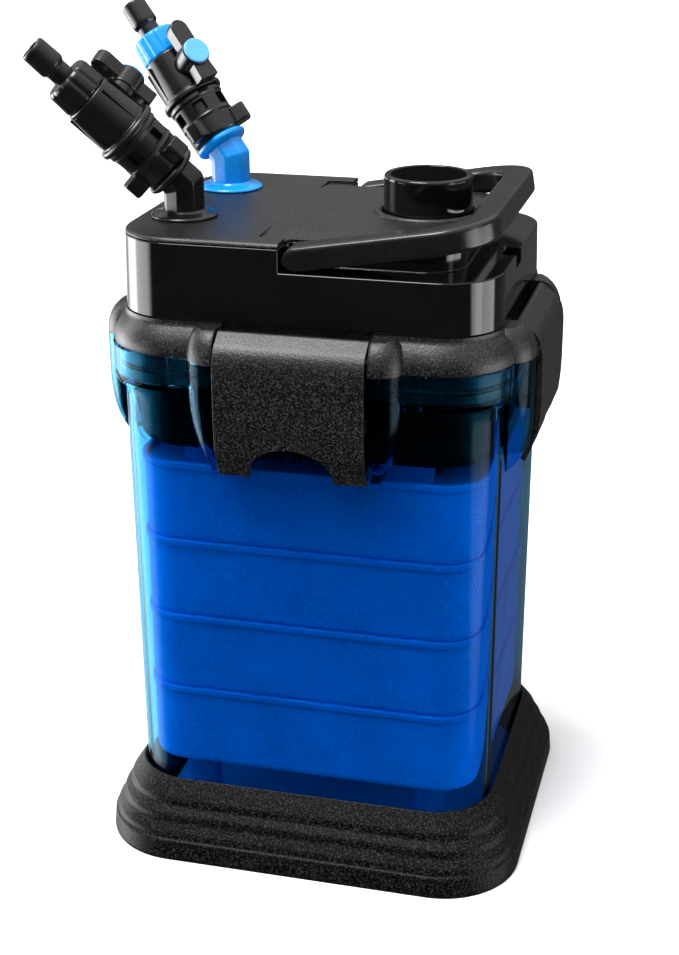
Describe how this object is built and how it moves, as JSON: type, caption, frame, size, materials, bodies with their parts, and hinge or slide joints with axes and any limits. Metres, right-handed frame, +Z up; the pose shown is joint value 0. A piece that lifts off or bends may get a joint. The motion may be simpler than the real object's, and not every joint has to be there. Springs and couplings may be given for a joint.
{
  "type": "aquarium canister filter",
  "caption": "Aquarium canister filter: clear tank of stacked media baskets on a stepped foot, clamped pump head with carrying handle, priming button and swivelling hose taps.",
  "frame": {"origin": "centre of the underside of the foot", "axes": "+Z up through the canister; -Y is the front, with the hose taps on the -X side and the priming button on the +X side"},
  "size_m": [0.3058, 0.2442, 0.5227],
  "materials": {
    "textured_black": "fine pebbled texture",
    "gloss_black": "polished",
    "satin_black": "satin",
    "clear_blue": "clear, tinted blue",
    "basket_blue": "satin",
    "tap_blue": "gloss",
    "cap_blue": "gloss",
    "rubber": "matt",
    "ceramic": "smooth",
    "magnet": "matt",
    "steel": "brushed",
    "foam": "open cell",
    "floss": "soft",
    "bio_media": "net bag of rings"
  },
  "bodies": {
    "canister_and_head": {"base_foot": "textured_black", "canister": "clear_blue", "media_basket_1": "basket_blue", "media_basket_2": "basket_blue", "media_basket_3": "basket_blue", "media_basket_4": "basket_blue", "basket_lid": "basket_blue", "bio_media_bag": "bio_media", "coarse_foam_pad": "foam", "carbon_bag": "foam", "floss_pad": "floss", "head_rim": "textured_black", "head_seal": "rubber", "head_housing": "gloss_black", "top_plate": "textured_black", "cord_gland": "rubber", "outlet_socket": "satin_black", "inlet_socket": "satin_black", "motor_chamber": "satin_black", "motor_can": "satin_black", "motor_shaft": "ceramic", "impeller_cover": "satin_black", "prime_barrel": "satin_black", "prime_cylinder": "satin_black", "prime_spring": "steel", "front_clamp_pin": "steel", "right_clamp_pin": "steel", "back_clamp_pin": "steel", "left_clamp_pin": "steel", "handle_pin_front": "steel", "handle_pin_rear": "steel"},
    "rotor": {"impeller": "satin_black", "rotor_magnet": "magnet"},
    "handle": {"carry_handle": "gloss_black"},
    "button": {"prime_button": "gloss_black", "button_disc": "gloss_black", "prime_plunger": "satin_black"},
    "front_latch": {"front_clamp": "textured_black"},
    "right_latch": {"right_clamp": "textured_black"},
    "back_latch": {"back_clamp": "textured_black"},
    "left_latch": {"left_clamp": "textured_black"},
    "outlet_tap": {"outlet_elbow": "satin_black", "outlet_elbow_seal": "rubber", "outlet_valve_body": "satin_black", "outlet_hose_tail": "satin_black"},
    "outlet_collar": {"outlet_lock_collar": "satin_black"},
    "outlet_handle": {"outlet_lever": "satin_black", "outlet_lever_cap": "cap_blue", "outlet_ball": "ceramic"},
    "outlet_nut": {"outlet_hose_nut": "satin_black"},
    "inlet_tap": {"inlet_elbow": "tap_blue", "inlet_elbow_seal": "rubber", "inlet_valve_body": "satin_black", "inlet_hose_tail": "satin_black"},
    "inlet_collar": {"inlet_lock_collar": "satin_black"},
    "inlet_handle": {"inlet_lever": "satin_black", "inlet_lever_cap": "cap_blue", "inlet_ball": "ceramic"},
    "inlet_nut": {"inlet_hose_nut": "tap_blue"}
  },
  "joints": [
    {"name": "rotor_spin", "type": "hinge", "parent": "canister_and_head", "child": "rotor", "pos_m": [-0.03, -0.015, 0.33], "axis": [0, 0, 1], "continuous": true},
    {"name": "handle_lift", "type": "hinge", "parent": "canister_and_head", "child": "handle", "pos_m": [-0.0015, 0, 0.3975], "axis": [0, -1, 0], "range_deg": [-9, 84]},
    {"name": "button_press", "type": "slide", "parent": "canister_and_head", "child": "button", "axis": [0, 0, 1], "range_m": [-0.02, 0], "stiffness_N_per_m": 250, "springref_m": 0.012, "deforming": ["prime_spring"]},
    {"name": "front_clamp_hinge", "type": "hinge", "parent": "canister_and_head", "child": "front_latch", "pos_m": [0, -0.109, 0.3445], "axis": [-1, 0, 0], "range_deg": [0, 85]},
    {"name": "right_clamp_hinge", "type": "hinge", "parent": "canister_and_head", "child": "right_latch", "pos_m": [0.126, 0, 0.3445], "axis": [0, -1, 0], "range_deg": [0, 85]},
    {"name": "back_clamp_hinge", "type": "hinge", "parent": "canister_and_head", "child": "back_latch", "pos_m": [0, 0.109, 0.3445], "axis": [1, 0, 0], "range_deg": [0, 85]},
    {"name": "left_clamp_hinge", "type": "hinge", "parent": "canister_and_head", "child": "left_latch", "pos_m": [-0.126, 0, 0.3445], "axis": [0, 1, 0], "range_deg": [0, 85]},
    {"name": "outlet_swivel", "type": "hinge", "parent": "canister_and_head", "child": "outlet_tap", "pos_m": [-0.086, -0.0395, 0.4065], "axis": [0, 0, 1], "range_deg": [-8, 60]},
    {"name": "outlet_collar_turn", "type": "hinge", "parent": "outlet_tap", "child": "outlet_collar", "pos_m": [-0.086, -0.0395, 0.4265], "axis": [-0.6519, -0.304, 0.6947], "range_deg": [0, 30]},
    {"name": "outlet_lever_turn", "type": "hinge", "parent": "outlet_tap", "child": "outlet_handle", "pos_m": [-0.12642, -0.05835, 0.46957], "axis": [0.2233, 0.7985, 0.559], "range_deg": [0, 90]},
    {"name": "outlet_nut_turn", "type": "hinge", "parent": "outlet_tap", "child": "outlet_nut", "pos_m": [-0.086, -0.0395, 0.4265], "axis": [-0.6519, -0.304, 0.6947], "range_deg": [0, 180]},
    {"name": "inlet_swivel", "type": "hinge", "parent": "canister_and_head", "child": "inlet_tap", "pos_m": [-0.0835, 0.0445, 0.4065], "axis": [0, 0, 1], "range_deg": [-60, 8]},
    {"name": "inlet_collar_turn", "type": "hinge", "parent": "inlet_tap", "child": "inlet_collar", "pos_m": [-0.0835, 0.0445, 0.4265], "axis": [-0.6049, 0.1966, 0.7716], "range_deg": [0, 30]},
    {"name": "inlet_lever_turn", "type": "hinge", "parent": "inlet_tap", "child": "inlet_handle", "pos_m": [-0.12101, 0.05669, 0.47434], "axis": [0.5744, -0.5634, 0.5938], "range_deg": [0, 90]},
    {"name": "inlet_nut_turn", "type": "hinge", "parent": "inlet_tap", "child": "inlet_nut", "pos_m": [-0.0835, 0.0445, 0.4265], "axis": [-0.6049, 0.1966, 0.7716], "range_deg": [0, 180]}
  ]
}
